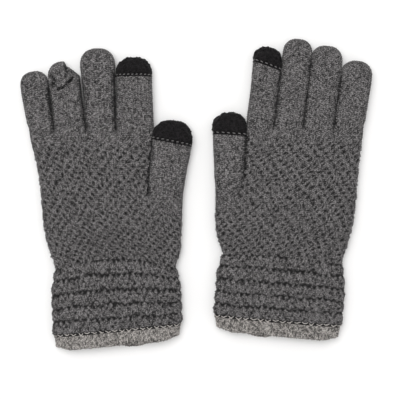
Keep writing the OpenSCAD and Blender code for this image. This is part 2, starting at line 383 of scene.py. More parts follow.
class Tube:
    """Grows a closed knitted tube row by row."""

    def __init__(self, skin, columns, w0, downwards=False):
        self.skin, self.columns, self.w0, self.downwards = skin, columns, w0, downwards
        self.ring, self.at = None, None

    def start(self, ring, course):
        self.ring, self.at = ring, course

    def row(self, top, low, course, zone, label):
        """Adds a row of points and the quads down to the row before it."""
        n = self.columns
        points = np.concatenate([top, low[1:-1][::-1]])
        w = self.w0 + np.arange(2 * n) / COLUMNS
        ids = self.skin.add_points(points, w, course, zone)
        if self.ring is not None:
            bridge(self.skin, self.ring, ids, self.w0, self.at, course, label, self.downwards)
        self.ring, self.at = ids, course
        return ids

    def close(self, point, course, zone, label):
        """Closes the end with a fan of quads that meet in one point."""
        n = len(self.ring)
        middle = self.skin.add_points(point[None], self.w0, course, zone)[0]
        i = np.arange(0, n, 2)
        quads = np.stack([self.ring[i], self.ring[(i + 1) % n], self.ring[(i + 2) % n],
                          np.full(len(i), middle)], -1)
        w = np.stack([self.w0 + i / COLUMNS, self.w0 + (i + 1) / COLUMNS,
                      self.w0 + (i + 2) / COLUMNS, self.w0 + (i + 1) / COLUMNS], -1)
        c = np.broadcast_to([self.at, self.at, self.at, course], (len(i), 4))
        self.skin.add_faces(quads, w, c, label)


# --- one glove's skin ---
# where the stalls part and how they lie
NEIGHBOURS = {"little": (None, "ring"), "ring": ("little", "middle"), "middle": ("ring", "index"),
              "index": ("middle", None), "thumb": ("index", None)}
CROTCH_RISE = 4.3 * MM      # how far the finger crotches lie beyond the CAD finger roots
THUMB_DROP = 1.2 * MM       # how far the thumb crotch lies below the CAD thumb root
STALL_PLUMP = 1.6 * MM      # how much wider a knitted finger stall lies than its CAD core
THUMB_PLUMP = 2.6 * MM      # the same for a thumb stall
PINCH_LENGTH = 7 * MM       # length over which the hand parts into its stalls
SKEW_LENGTH = 8 * MM        # length over which a stall turns to its own direction
CREASE_GAP = 0.4 * MM       # from the thumb's side to the crease beside it
BELOW_THUMB = 3 * MM        # how far below the thumb root the hand's outline takes in the thumb
LEAN_FADE = 0.5             # share of the way to the thumb root where rows stop leaning
# how far a stall is shifted across itself; the thumb's side counts as plus
LEANS_IN = {("right", "thumb"): -1.3 * MM, ("left", "index"): -0.6 * MM,
            ("right", "index"): -0.5 * MM}

# painted shade in the creases between neighbours
CREASE_SHORT = 11 * MM      # how far below the shorter tip the crease between two stalls ends
CREASE_FADE = 5 * MM        # length over which a crease starts
SIDE_COLUMNS = 8            # point columns over which a crease fades out
CREASE_SPREAD = 1.4         # where it has faded out, from the very side, in SIDE_COLUMNS

# zones of the hand
MOSS_EDGE = 16 * MM         # from the finger crotches down to where the raised blocks fade
MOSS_FADE = 11 * MM         # length over which raised blocks turn to plain stitches
THUMB_PLAIN = 22 * MM       # how far the thumb's plain stitches run down into the hand
THUMB_BLEND = 0.3           # share of the thumb's columns over which they turn to raised blocks

# rounded ends of the stalls
DOME_SHARE = 0.5            # length of the rounded end, as a share of the stall's width
DOME_ARC = 1.32             # length of the rounded end along its skin, over its height
TIP_POWER = 2.25            # squareness of the end seen from above
TIP_SIDE_POWERS = (2.6, 2.4)    # squareness of the end seen from the side
TIP_THIN = 0.12             # share of its thickness that the end loses
TIP_LIFT = 0.26             # how far the end lifts off the table, as a share of its thickness

# seams of the touch tips
SEAM_SHIFT = -1.5 * MM      # where the black yarn starts, from the CAD tip's edge
SEAM_BAND = 1.8 * MM        # reach of the groove on each side of the seam, lowered and given painted shade

# wrist and cuff
WRIST_ARCH = {"left": 8.5 * MM, "right": 2.5 * MM}  # how far the middle of the wrist line bows up
ARCH_FADE = 40 * MM         # how far up the hand the rows bow with it
ARCH_POWER = 1.5            # how soon the bow is lost down the cuff
FLARE_RATE = 3              # the cuff is at full width after one part in this many of its length
WRIST_BEND = 14 * MM        # a length down the cuff from the wrist, at which a point is found that nothing uses
LINING_REACH = 50 * MM      # how far the lining is drawn up inside the cuff

# hem and mouth
HEM_BLEND = 1.2 * MM        # length over which the welts turn into the hem
HEM_TUCK = 2.5 * MM         # from the top of the hem down to where its inside turns grey
LAST_VALLEY = 2.6 * MM      # width of the valley above the hem, lowered and given painted shade
VALLEY_EDGES = (0.4 * MM, 0.8 * MM)     # softness of its lower and upper edges
LOOP_UP = 2.6 * MM          # how far the hem's loops reach up over the last valley
LOOP_DOWN = 0.8 * MM        # how far they reach down over the hem
CORNER_RISE = 3 * MM        # how far the hem's corners are rounded up
CORNER_FROM = 0.72          # where they start, as a share of the half width
ROLL = 1.1 * MM             # radius of the rolled edge of the mouth
ROLL_STEPS = 6              # rows of points round the roll
LIP = 2.6 * MM              # how far the mouth's lower layer shows past the upper one
LIP_FROM, LIP_TO = 0.0, 0.62    # where it does, as shares of the half width towards the thumb
LIP_EDGES = (0.2, 0.3)      # softness of the lip's two ends, in the same shares


def crease_shade_share(s, reach, away):
    """How much painted crease shade a point at s gets, in a crease that ends at reach, some columns away
    from the side.
    """
    return smooth((reach - s) / CREASE_FADE) * smooth(CREASE_SPREAD - away / SIDE_COLUMNS)


def rounded(width):
    """The whole number of wales nearest a width, as a number of point columns."""
    return max(4, round(width / knit().wale)) * COLUMNS


class Glove:
    """Knits one glove: hand, stalls, cuff and hem, as one skin."""

    def __init__(self, sizes):
        self.sizes = sizes
        self.skin = Skin()
        self.columns = {d: rounded(sizes.stalls[d].width(0)) for d in DIGITS}
        self.hand_columns = sum(self.columns[f] for f in FINGERS)
        self.all_columns = self.hand_columns + self.columns["thumb"]
        self.read_hand()
        self.knit_hand()
        for digit in DIGITS:
            self.knit_stall(sizes.stalls[digit])
        self.knit_cuff()
        self.skin.finish()

    # - outline of the hand -
    def read_hand(self):
        s = self.sizes
        axis = JOINTS[f"{s.side}_wrist_fold"]["axis"]
        self.wrist_slope = s.mirror * axis[1] / axis[0]
        stations = hand_stations(s.node("hand"), self.wrist_slope)
        thumb = s.stalls["thumb"]
        low = stations[:, 0] < thumb.root[1] - BELOW_THUMB
        self.stations, self.below, self.above = stations, stations[low], stations[~low]
        self.wrist_y = 0.0
        self.knuckle_y = stations[-1, 0]
        self.thumb_y = thumb.root[1] - THUMB_DROP
        self.crotch_y = self.knuckle_y + CROTCH_RISE
        self.finger_edges = self.lobe_edges()
        self.crease_x = thumb.root[0] - thumb.width(0) / 2 - CREASE_GAP

    def lobe_edges(self):
        """X of the five edges between and beside the fingers, where they part."""
        s = self.sizes
        sides = []
        for f in FINGERS:
            stall = s.stalls[f]
            run = (self.crotch_y - stall.root[1]) / stall.dir[1]
            middle = stall.root + stall.dir * run
            half = stall.width(0) / 2 / abs(stall.out[0])
            sides.append((middle[0] - half, middle[0] + half))
        inner = [(sides[k][1] + sides[k + 1][0]) / 2 for k in range(len(FINGERS) - 1)]
        return np.array([sides[0][0]] + inner + [sides[-1][1]])

    def hand_span(self, y):
        """Left edge, right edge and thickness of the hand between thumb root and fingers."""
        lo, _, top = eased(y, self.stations)
        hi = eased(y, self.above)[1]
        t = smooth((y - self.knuckle_y + PINCH_LENGTH) / (self.crotch_y - self.knuckle_y + PINCH_LENGTH))
        return mix(lo, self.finger_edges[0], t), mix(hi, self.finger_edges[-1], t), top

    def whole_span(self, y):
        """Left edge, right edge and thickness of the hand below the thumb root."""
        lo, _, top = eased(y, self.stations)
        return lo, eased(y, self.below)[1], top

    def single(self, lo, hi, thickness, y, columns):
        """Top and bottom rows of one section between two edges."""
        top, low = section((hi - lo) / 2, thickness, columns)
        return tuple(np.stack([row[:, 0] + (lo + hi) / 2, np.full(len(row), y), row[:, 1]], -1)
                     for row in (top, low))

    def lobed(self, edges, columns, thicknesses, y):
        """Several sections side by side that touch at their shared edges."""
        tops, lows = [], []
        for k, n in enumerate(columns):
            top, low = self.single(edges[k], edges[k + 1], thicknesses[k], y, n)
            if k:
                top, low = top[1:], low[1:]
            tops.append(top)
            lows.append(low)
        top, low = np.concatenate(tops), np.concatenate(lows)
        at = 0
        for n in columns[:-1]:
            at += n
            level = (top[at, 2] + low[at, 2]) / 2
            top[at, 2] = low[at, 2] = level
        return top, low

    # - hand -
    def knit_hand(self):
        top, low = self.knit_palm()
        self.knit_knuckles(top, low)

    def knit_palm(self):
        """Rows from the wrist up to the thumb root, where the thumb parts from the hand."""
        course = knit().course
        n, thumb_n = self.hand_columns, self.columns["thumb"]
        tube = Tube(self.skin, self.all_columns, 0.0)
        rows = int(round((self.thumb_y - self.wrist_y) / course * ROWS))
        for r in range(rows + 1):
            y = mix(self.wrist_y, self.thumb_y, r / rows)
            lo, hi, thick = self.whole_span(y)
            top, low = self.single(lo, hi, thick, y, self.all_columns)
            t = smooth((y - self.thumb_y + PINCH_LENGTH) / PINCH_LENGTH) ** 2
            if t > 0:
                parted = self.lobed([lo, self.crease_x, hi], [n, thumb_n],
                                    [thick, self.sizes.stalls["thumb"].heights[0]], y)
                top, low = mix(top, parted[0], t), mix(low, parted[1], t)
            lean = self.wrist_slope * (1 - smooth(y / (LEAN_FADE * self.thumb_y)))
            bow = WRIST_ARCH[self.sizes.side] * (1 - smooth(y / ARCH_FADE))
            for row in (top, low):
                across = (2 * row[:, 0] - lo - hi) / (hi - lo)
                row[:, 1] += lean * row[:, 0] + bow * (1 - across ** 2)
            tube.row(top, low, y / course, self.hand_zone(y, self.all_columns), "hand")
        top_ids, low_ids = row_ids(tube.ring)
        self.palm_ids = (top_ids[:n + 1], low_ids[:n + 1])
        self.starts = {"thumb": (top_ids[n:], low_ids[n:], top[n:], low[n:], n, self.thumb_y)}
        return top[:n + 1], low[:n + 1]

    def knit_knuckles(self, first_top, first_low):
        """Rows from the thumb root up to the fingers, where the four fingers part."""
        course, n = knit().course, self.hand_columns
        tube = Tube(self.skin, n, 0.0)
        tube.start(ring_ids(*self.palm_ids), self.thumb_y / course)
        rows = int(round((self.crotch_y - self.thumb_y) / course * ROWS))
        for r in range(1, rows + 1):
            y = mix(self.thumb_y, self.crotch_y, r / rows)
            lo, hi, thick = self.hand_span(y)
            settle = smooth((y - self.thumb_y) / SKEW_LENGTH)
            top, low = self.single(lo, hi, thick, y, n)
            t = smooth((y - self.crotch_y + PINCH_LENGTH) / PINCH_LENGTH) ** 3
            if t > 0:
                share = (self.finger_edges - self.finger_edges[0]) / np.ptp(self.finger_edges)
                parted = self.lobed(lo + share * (hi - lo), [self.columns[f] for f in FINGERS],
                                    [self.sizes.stalls[f].heights[0] for f in FINGERS], y)
                top, low = mix(top, parted[0], t), mix(low, parted[1], t)
            shift = np.array([0, y - self.thumb_y, 0])
            top, low = mix(first_top + shift, top, settle), mix(first_low + shift, low, settle)
            tube.row(top, low, y / course, self.hand_zone(y, n), "hand")
        top_ids, low_ids = row_ids(tube.ring)
        at = 0
        for f in FINGERS:
            end = at + self.columns[f]
            part = slice(at, end + 1)
            self.starts[f] = (top_ids[part], low_ids[part], top[part], low[part], at, self.crotch_y)
            at = end

    def hand_zone(self, y, columns):
        """Raised blocks on the hand, plain stitches towards the fingers and on the thumb."""
        plain = smooth((y - (self.crotch_y - MOSS_EDGE)) / MOSS_FADE)
        if columns == self.all_columns:
            place = np.arange(2 * columns)
            from_left = np.minimum(place, 2 * columns - place)
            on_thumb = smooth((from_left - self.hand_columns) / (THUMB_BLEND * self.columns["thumb"]))
            plain = np.maximum(plain, on_thumb * smooth((y - self.thumb_y + THUMB_PLAIN) / MOSS_FADE))
        else:
            plain = np.full(2 * columns, plain)
        zone = np.zeros((2 * columns, len(ZONES)))
        # painted shade along the hand's thumb side, where the thumb lies against it
        if columns == self.hand_columns:
            away = np.abs(np.arange(2 * columns) - columns)
            reach = self.thumb_y + self.sizes.stalls["thumb"].length - CREASE_SHORT
            zone[:, ZONES.index("crease")] = crease_shade_share(y, reach, away)
        zone[:, ZONES.index("moss")] = 1 - plain
        zone[:, ZONES.index("jersey")] = plain
        return zone

    # - stalls -
    def knit_stall(self, stall):
        course, n = knit().course, self.columns[stall.digit]
        top_ids, low_ids, first_top, first_low, at, y0 = self.starts[stall.digit]
        tube = Tube(self.skin, n, at / COLUMNS)
        tube.start(ring_ids(top_ids, low_ids), y0 / course)
        reach = (first_top[:, :2] - stall.root) @ stall.dir
        first = reach.mean()
        stall.starts_at = reach.max()
        dome = stall.widths.max() * DOME_SHARE
        straight = stall.length - dome
        rows = int(round((straight - first) / course * ROWS))
        stations = list(mix(first, straight, np.arange(1, rows + 1) / rows))
        arc = int(round(dome * DOME_ARC / course * ROWS))
        stations += list(straight + dome * np.sin(np.linspace(0, math.pi / 2, arc + 1)[1:-1]))
        c, before, last_width = y0 / course, first, stall.width(first)
        for s in stations:
            width, thick, lift = self.stall_section(stall, s, straight, dome)
            flat_top, flat_low = section(width / 2, thick, n, lift)
            for row in (flat_top, flat_low):
                row[:, 0] += LEANS_IN.get((stall.side, stall.digit), 0.0)
            top, low = stall.place(s, flat_top), stall.place(s, flat_low)
            settle = smooth((s - first) / SKEW_LENGTH)
            shift = np.append(stall.dir * (s - first), 0)
            top, low = mix(first_top + shift, top, settle), mix(first_low + shift, low, settle)
            c += math.hypot(s - before, (last_width - width) / 2) / course
            before, last_width = s, width
            from_seam = s - stall.seam if stall.seam is not None else -stall.length
            capped = from_seam > SEAM_SHIFT
            # the seam's groove is lowered and given painted shade
            groove = 1 - smooth(abs(from_seam) / SEAM_BAND)
            zone = zone_row(cap=1.0, groove=groove) if capped else zone_row(jersey=1.0)
            label = "_tip" if capped else "_upper" if s > stall.split_at else "_lower"
            zone = self.side_crease_shade(stall, s, zone)
            if (stall.side, stall.digit) == CRUMPLED:
                folds = [crumple(row, stall, s) for row in (top, low)]
                zone[:, ZONES.index("groove")] += np.concatenate([folds[0], folds[1][1:-1][::-1]])
            ring = tube.row(top, low, c, zone, stall.digit + label)
            if abs(from_seam) < SEAM_BAND / 2:
                self.skin.keep_ring(stall.digit, ring)
        end = np.array([[0, flat_top[:, 1].mean()]])
        tube.close(stall.place(stall.length, end)[0], c + 1, zone_row(), stall.digit + label)

    def side_crease_shade(self, stall, s, zone):
        """Gives painted shade to the sides of a row where it lies against its neighbours."""
        n = self.columns[stall.digit]
        zone = np.tile(zone, (2 * n, 1))
        place = np.arange(2 * n)
        for at, other in ((0, NEIGHBOURS[stall.digit][0]), (n, NEIGHBOURS[stall.digit][1])):
            if other:
                reach = min(stall.length, self.sizes.stalls[other].length) - CREASE_SHORT
                away = np.minimum(np.abs(place - at), 2 * n - np.abs(place - at))
                zone[:, ZONES.index("crease")] += crease_shade_share(s, reach, away)
        return zone

    def stall_section(self, stall, s, straight, dome):
        """Width, thickness and lift off the table of a stall's section."""
        u = np.clip((s - straight) / dome, 0, 1)
        plump = THUMB_PLUMP if stall.digit == "thumb" else STALL_PLUMP
        full_width = stall.width(min(s, straight)) + plump
        width = full_width * (1 - u ** TIP_POWER) ** (1 / TIP_POWER)
        full = stall.heights[0]
        thick = full * (1 - u ** TIP_SIDE_POWERS[0]) ** (1 / TIP_SIDE_POWERS[1]) * (1 - TIP_THIN * u)
        lift = full * TIP_LIFT * (u ** 4)
        return max(width, 0.4 * MM), max(thick, 0.3 * MM), lift

    # - cuff and hem -
    def knit_cuff(self):
        """Rows from the wrist down to the mouth, round its rolled edge and back up inside."""
        course, n = knit().course, self.all_columns
        c = self.cuff = measure_cuff(self)
        tube = Tube(self.skin, n, 0.0, downwards=True)
        tube.start(np.arange(2 * n), self.wrist_y / course)
        rows = int(round((self.wrist_y - c["mouth"]) / course * ROWS))
        for y in np.linspace(self.wrist_y, c["mouth"], rows + 1)[1:]:
            above = y - c["seam"]
            hemmed = smooth((c["seam"] - y) / HEM_BLEND + 0.5)
            label = "hem" if above < 0 else "cuff"
            # the last valley above the hem is lowered and given painted shade
            valley = smooth(above / VALLEY_EDGES[0])
            valley *= smooth((c["seam"] + LAST_VALLEY - y) / VALLEY_EDGES[1])
            ring = tube.row(*self.cuff_row(y, y, 0), y / course,
                            zone_row(welt=1 - hemmed, hem=hemmed, groove=valley), label)
            if -LOOP_DOWN < above < LOOP_UP:
                self.skin.keep_ring("hem", ring)
        at = c["mouth"] / course
        for a in np.linspace(0, math.pi, ROLL_STEPS + 1)[1:]:
            y = c["mouth"] - ROLL * math.sin(a)
            at -= ROLL * math.pi / ROLL_STEPS / course
            tube.row(*self.cuff_row(c["mouth"], y, ROLL * (1 - math.cos(a))), at,
                     zone_row(hem=1.0), "hem")
        for y in c["mouth"] + np.linspace(0, LINING_REACH, int(LINING_REACH / course) + 1)[1:]:
            at -= 1
            inside = "hem" if y < c["seam"] - HEM_TUCK else "lining"
            zone = zone_row(hem=1.0) if inside == "hem" else zone_row(jersey=1.0)
            tube.row(*self.cuff_row(y, y, 2 * ROLL), at, zone, inside)

    def cuff_row(self, y, lies_at, inset):
        """Top and bottom rows at a Y on the cuff's middle line, drawn in by inset all round."""
        c = self.cuff
        u = np.clip((c["top"] - y) / (c["top"] - c["seam"]), 0, 1)
        v = np.clip((c["seam"] - y) / (c["seam"] - c["mouth"]), 0, 1)
        flare = smooth(FLARE_RATE * u)
        half = mix(mix(c["half_top"], c["half_cuff"], flare), c["half_mouth"], v)
        thick = mix(mix(c["thick_top"], c["thick_cuff"], flare), c["thick_mouth"], v)
        slope = mix(self.wrist_slope, c["hem_slope"], u)
        bow = WRIST_ARCH[self.sizes.side] * (1 - u) ** ARCH_POWER
        rows = section(half - inset, thick - 2 * inset, self.all_columns, inset)
        placed = []
        for row in rows:
            share = row[:, 0] / half
            arch = bow * (1 - share ** 2)
            if row is rows[1]:
                lip = LIP * v * smooth((share - LIP_FROM) / LIP_EDGES[0])
                arch = arch - lip * smooth((LIP_TO - share) / LIP_EDGES[1])
            edge = smooth((np.abs(share) - CORNER_FROM) / (1 - CORNER_FROM))
            arch = arch + CORNER_RISE * v * edge
            across = row[:, 0] + mix(c["wrist_x"], c["hem_x"], u)
            placed.append(np.stack([across, lies_at + slope * across + arch, row[:, 1]], -1))
        return placed


CRUMPLED = ("left", "ring")     # the stall whose tip lies crumpled
# its creases, in mm, as points (along the stall, across it), then width and depth
CRUMPLES = (
    (((43, 8), (40, 5), (36, -0.5), (35, -6)), 0.75, 2.2),
    (((46.5, -9.5), (43.5, -7.6), (39, -8.2)), 1.6, 2.6),
    (((56, 3), (50, 2.5), (46, 4.5)), 0.7, 1.2),
)
CREASE_LIMIT = 0.5          # the deepest crease, as a share of the height there
CRUMPLE_SHADE = 0.88        # painted shade at the bottom of a crease
CRUMPLE_REACH = 15 * MM     # length of the end that crumples
PEAK_ACROSS = 0.6 * MM      # the crumpled tip's peak, from the stall's middle line
TIP_FALL = 0.5              # how far its thumb side falls back, for each unit across from the peak
TIP_STEP = 2.4 * MM         # the step beside the peak
STEP_WIDTH = 2.5 * MM       # how far across the step runs
FLAP_SINK = 0.3             # share of its height that the fallen side loses
FLAP_SHADE = 0.3            # painted shade on the fallen side
FLAP_EDGES = (4 * MM, 3 * MM)   # how far it has fallen where it has its full sink and full painted shade


def crumple(row, stall, s):
    """Folds the end of a row of a limp fingertip, and gives each point's share of groove, which lowers it
    and gives it painted shade in the folds and on the fallen side.

    One side falls back from the peak, and creases run across the top.
    """
    across = (row[:, :2] - stall.root) @ stall.out
    share = smooth((s - stall.length + CRUMPLE_REACH) / CRUMPLE_REACH)
    beside = np.maximum(across - PEAK_ACROSS, 0)
    fallen = (TIP_FALL * beside + TIP_STEP * smooth(beside / STEP_WIDTH)) * share
    row[:, :2] -= stall.dir * fallen[:, None]
    row[:, 2] *= 1 - FLAP_SINK * smooth(fallen / FLAP_EDGES[0])
    along = (row[:, :2] - stall.root) @ stall.dir
    # painted shade on the fallen side, then in the creases
    deep = FLAP_SHADE * smooth(fallen / FLAP_EDGES[1])
    for points, width, depth in CRUMPLES:
        far = far_from_line(np.stack([along, across], -1), np.array(points) * MM)
        fold = np.exp(-((far / (width * MM)) ** 2))
        row[:, 2] -= np.minimum(depth * MM * fold, CREASE_LIMIT * row[:, 2])
        deep = np.maximum(deep, fold)
    return CRUMPLE_SHADE * deep


def far_from_line(points, line):
    """Distance of each point from a line of straight pieces."""
    best = np.full(len(points), np.inf)
    for a, b in zip(line[:-1], line[1:]):
        t = np.clip((points - a) @ (b - a) / ((b - a) @ (b - a)), 0, 1)
        best = np.minimum(best, np.linalg.norm(points - a - t[:, None] * (b - a), axis=1))
    return best


HAND_LEAST = 60 * MM        # least width of a ring of CAD points round the hand
RING_LEAST = 12             # least number of different X in such a ring


def hand_stations(p, slope):
    """[Y on the middle line, lowest X, highest X, thickness] of each outer ring of the CAD hand."""
    rows = []
    for lean in (slope, 0):
        level = np.round(p[:, 1] - lean * p[:, 0], 5)
        for y in np.unique(level):
            ring = p[np.abs(level - y) < 2e-5]
            outside = ring[:, 2].min() < 0.1 * MM
            full = len(np.unique(np.round(ring[:, 0], 5))) >= RING_LEAST
            if outside and full and np.ptp(ring[:, 0]) > HAND_LEAST:
                rows.append((y, ring[:, 0].min(), ring[:, 0].max(), ring[:, 2].max()))
    return np.array(sorted(rows))


EASE_REACH = np.array([-5, -2.5, 0, 2.5, 5]) * MM   # places whose mean rounds off a corner


def eased(y, stations):
    """Interpolates stations along Y, with their corners rounded off."""
    return [np.interp(y + EASE_REACH, stations[:, 0], stations[:, k]).mean() for k in (1, 2, 3)]


def measure_cuff(glove):
    """Places and sizes of the cuff and hem, read from the CAD hem and hand."""
    p = glove.sizes.node("hem")
    left, right = p[p[:, 0].argmin()], p[p[:, 0].argmax()]
    slope = (right[1] - left[1]) / (right[0] - left[0])
    level = p[:, 1] - slope * p[:, 0]
    mouth = level.min()
    lowest = p[level < mouth + 0.05 * MM]
    lo, hi, thick = glove.whole_span(glove.wrist_y)
    return {
        "top": glove.wrist_y, "seam": level.max(), "mouth": mouth + ROLL, "hem_slope": slope,
        "wrist_x": (lo + hi) / 2, "hem_x": (left[0] + right[0]) / 2,
        "half_top": (hi - lo) / 2, "half_cuff": (right[0] - left[0]) / 2,
        "half_mouth": np.ptp(lowest[:, 0]) / 2, "thick_top": thick,
        "thick_cuff": JOINTS[f"{glove.sizes.side}_wrist_fold"]["pos_m"][2],
        "thick_mouth": lowest[:, 2].max(),
    }


# --- relief of the knit ---
STITCH_SLANT = 0.7          # courses that a yarn leg climbs from its stitch's middle to its side
LEG_POWER = 0.7             # roundness of a yarn leg along its length
LEG_UNEVEN = 0.35           # how much the height of the legs varies
MOSS_WALES = 2.7            # wales from one raised block to the next
MOSS_COURSES = (6, 3)       # courses from one slanting line of blocks to the next, each way
WELTS = 5                   # number of welts round a cuff
WELTS_END = 0.975           # share of the cuff that the welts take, above a last flat valley
WELT_POWER = 0.7            # fullness of a welt
PUCKER_WALES = 1.9          # wales from one pucker of a welt's valley to the next
PUCKER_SHIFT = 0.014        # how far a pucker bends the valleys, as a share of the cuff
# uneven run of the valleys: (size of the swells, share of the cuff)
VALLEY_WANDER = ((11 * MM, 0.018), (4 * MM, 0.020))
PUCKER_FILL, LIFTED_FILL = 0.3, 0.24    # how far puckers and loose places fill the valleys
LIFTED_SIZE = 12 * MM       # size of the loose places across the glove
LIFTED_STRETCH = 0.6        # their size across, over their size along


def leg_rows(w, c):
    """Distance along the yarn legs in courses, whole at the boundary between two stitches."""
    return c - STITCH_SLANT * np.abs(2 * (w % 1) - 1) + 0.5


def jersey(w, c):
    """Height from 0 to 1 of plain V stitches at a wale and course."""
    leg = 1 - np.abs(2 * (2 * w % 1) - 1)
    ridge = 0.5 + 0.5 * np.sin(leg * math.pi / 2)
    return ridge * (0.5 - 0.5 * np.cos(2 * math.pi * leg_rows(w, c))) ** LEG_POWER


def moss(w, c, drift_w, drift_c):
    """Height from -2 to 2 of raised blocks on a slanting lattice."""
    w, c = w + drift_w, c + drift_c
    return (np.cos(2 * math.pi * (w / MOSS_WALES - c / MOSS_COURSES[0]))
            + np.cos(2 * math.pi * (w / MOSS_WALES + c / MOSS_COURSES[1])))


def welts(glove, w, c, p):
    """Height from 0 to 1 of the welts round the cuff, with puckered valleys."""
    cuff, course = glove.cuff, knit().course
    u = (cuff["top"] - c * course) / (cuff["top"] - cuff["seam"]) / WELTS_END
    pucker = np.cos(2 * math.pi * w / PUCKER_WALES)
    u = u + PUCKER_SHIFT * pucker
    for (size, share), seed in zip(VALLEY_WANDER, (31, 33)):
        u = u + share * soft_noise(p, size, seed)
    swell = np.abs(np.sin(math.pi * WELTS * np.clip(u, 0, 1))) ** WELT_POWER
    lifted = 0.5 + 0.5 * soft_noise(p * np.array([1, LIFTED_STRETCH, 1]), LIFTED_SIZE, 32)
    return swell + (1 - swell) * (PUCKER_FILL * (0.5 + 0.5 * pucker) + LIFTED_FILL * lifted)


def hem_loops_relief(w, c):
    """Height from -1 to 1 of the crossed loops of the hem band."""
    return np.cos(2 * math.pi * (0.75 * w + 0.5 * c)) * np.cos(2 * math.pi * (0.75 * w - 0.5 * c))


def vertex_normals(points, faces):
    a, b, c, d = (points[faces[:, k]] for k in range(4))
    flat = np.cross(c - a, d - b)
    total = np.zeros_like(points)
    for k in range(4):
        np.add.at(total, faces[:, k], flat)
    size = np.linalg.norm(total, axis=1, keepdims=True)
    return total / np.maximum(size, 1e-12)


def zone_of(skin, name):
    return skin.zone[:, ZONES.index(name)]


SEEDS = {"left": 7, "right": 57}    # first seed of each glove's random draws
DRIFT_SIZES = (8 * MM, 3 * MM)      # swells that shift the raised blocks about
DRIFT_WALES = (0.6, 0.4)            # how far each shifts them across, in wales
DRIFT_COURSES = (1.1, 0.8)          # and along, in courses
GRAIN = 0.7 * MM                    # size of the fine roughness
NUBS = 1.9 * MM                     # size of the coarse roughness
BLOCK_GAIN, BLOCK_BIAS = 0.95, 0.3  # steepness of the raised blocks, and how much of the cloth they take
PIT_START, PIT_UNEVEN = 0.45, 0.9   # how low the waves are where the painted shade of the pits starts, and how that varies
MOSS_MIX = (0.45, 0.3, 0.2)         # shares of blocks, yarn legs and grain in the moss relief
HEM_STITCHES = 0.8                  # stitch relief of the hem, over that of the cloth
WELT_FLOOR = 0.12                   # height of the valleys' floors below the skin, over the welt depth
HEM_LOOPS = 0.3 * MM                # relief of the hem's crossed loops
CAP_STITCHES = 0.25 * MM            # relief of the touch tips' stitches
CAP_PROUD = 0.35 * MM               # how far the touch tips stand out from the stalls
GROOVE_DEPTH = 0.55 * MM            # depth of seams, folds and the last valley of the cuff
ROUGHNESS = {"welt": (0.5 * MM, 0.45 * MM), "hem": (0.4 * MM, 0.25 * MM),
             "cap": (0.3 * MM, 0.75 * MM)}      # relief of grain and of nubs
DENTS = ((34 * MM, 1.0), (15 * MM, 0.45))       # size and share of the cloth's soft dents
TABLE_PRESS = 1.5 * MM              # height under which the table presses the relief flat
TABLE_LEFT = 0.15                   # how far that press is eased on the table itself: 0 leaves no relief
LOWEST = 0.05 * MM                  # height of the lowest yarn above the table

# painted shade in the relief's low places, valleys and pits, and in the hem also its dark flecks: a start,
# and how much each part of the relief adds to it
DARKNESS = {
    "jersey": (0.88, {"plain": -1.4, "legs": -0.22, "grain": -1.1}),
    "moss": (0.58, {"plain": -0.95, "legs": -0.36, "grain": -0.6, "pits": 1.05}),
    "welt": (0.5, {"plain": -0.9, "legs": -0.42, "grain": -0.7, "nubs": -0.35, "pits": 0.8}),
    "valley": (2.12, {"swell": -2.7, "legs": -0.24, "grain": -0.4, "nubs": -0.5}),
    "hem": (0.74, {"plain": -0.75, "loops": -0.2, "legs": -0.48, "grain": -0.8, "nubs": -0.4}),
}


def darkness(zone, parts):
    """Painted darkness of a zone from the parts of its relief: painted shade, and in the hem also dark
    flecks.
    """
    start, shares = DARKNESS[zone]
    return start + sum(share * parts[name] for name, share in shares.items())


